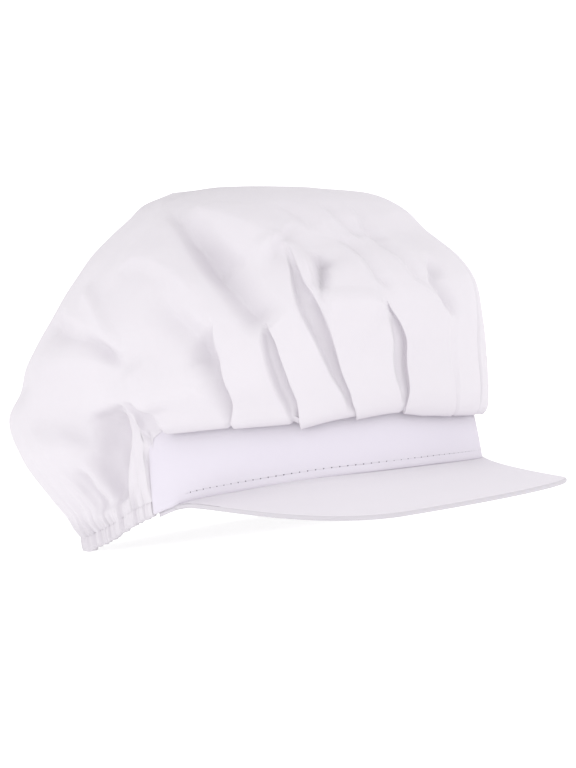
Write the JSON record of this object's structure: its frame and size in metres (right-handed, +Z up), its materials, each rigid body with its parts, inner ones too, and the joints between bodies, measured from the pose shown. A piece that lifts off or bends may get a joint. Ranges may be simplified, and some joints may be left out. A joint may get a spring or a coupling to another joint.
{
  "type": "dust cap",
  "caption": "White cloth work cap with a puffed, pleated crown, a front band, a short stiff peak and a gathered elastic hem at the back.",
  "frame": {"origin": "on the surface the cap stands on, below the middle of its bounding box", "axes": "+Z up, -Y the way the peak points, -X the wearer's right side"},
  "size_m": [0.1854, 0.2596, 0.148],
  "materials": {
    "crown_cloth": "woven cotton blend, matt",
    "band_cloth": "woven cotton blend, matt",
    "lining_cloth": "woven cotton blend, matt",
    "peak_cloth": "cloth over a stiff board, smooth",
    "hem_cloth": "woven cotton blend over elastic, puckered"
  },
  "bodies": {
    "root": {"crown": "crown_cloth", "band": "band_cloth", "band_lining": "lining_cloth", "peak": "peak_cloth", "elastic_hem": "hem_cloth"}
  },
  "joints": []
}
